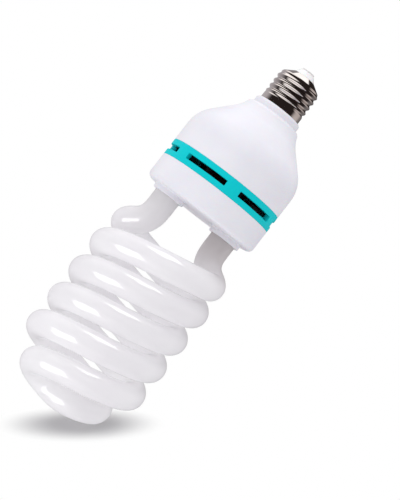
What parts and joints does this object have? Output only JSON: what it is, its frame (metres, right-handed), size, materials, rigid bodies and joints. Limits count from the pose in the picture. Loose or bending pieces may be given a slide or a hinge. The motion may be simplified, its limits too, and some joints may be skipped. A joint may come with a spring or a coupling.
{
  "type": "compact fluorescent bulb",
  "caption": "Compact fluorescent bulb: a white double-helix glass tube under a domed ballast housing with a teal vent ring and a screw cap.",
  "frame": {"origin": "middle of the end face of the centre contact", "axes": "+Z along the bulb's axis, out of the screw cap; the coil lies at -Z; +X towards the tube leg that the coil leaves clockwise seen from the cap"},
  "size_m": [0.0796, 0.0796, 0.2363],
  "materials": {
    "cap_metal": "bright nickel-plated rolled sheet",
    "insulator_white": "white moulded insulator",
    "contact_metal": "tinned contact",
    "housing_white": "satin white moulded plastic",
    "band_teal": "satin teal moulded plastic",
    "tube_glass": "glossy glass over a white coating",
    "cement": "dry cement",
    "board_laminate": "paper laminate",
    "can_sleeve": "dark shrink sleeve",
    "ferrite": "sintered ferrite",
    "winding_copper": "enamelled copper wire",
    "film_brown": "dipped resin",
    "epoxy_grey": "cement coat",
    "epoxy_black": "moulded epoxy",
    "lead_sleeve": "woven sleeve",
    "bare_wire": "bare wire"
  },
  "bodies": {
    "root": {"cap_shell": "cap_metal", "cap_insulator": "insulator_white", "centre_contact": "contact_metal", "upper_housing": "housing_white", "vent_ring": "band_teal", "lower_housing": "housing_white", "lamp_tube": "tube_glass", "tube_cement_right": "cement", "tube_cement_left": "cement", "ballast_board": "board_laminate", "storage_capacitor": "can_sleeve", "choke_core": "ferrite", "choke_coil": "winding_copper", "drive_transformer": "ferrite", "resonant_capacitor": "film_brown", "blocking_capacitor": "film_brown", "filter_inductor": "winding_copper", "fuse_resistor": "epoxy_grey", "live_lead": "lead_sleeve", "neutral_lead": "lead_sleeve", "transistor_1": "epoxy_black", "transistor_2": "epoxy_black", "rectifier_diode_1": "epoxy_black", "rectifier_diode_2": "epoxy_black", "rectifier_diode_3": "epoxy_black", "rectifier_diode_4": "epoxy_black", "tube_lead_1": "bare_wire", "tube_lead_2": "bare_wire", "tube_lead_3": "bare_wire", "tube_lead_4": "bare_wire"}
  },
  "joints": []
}
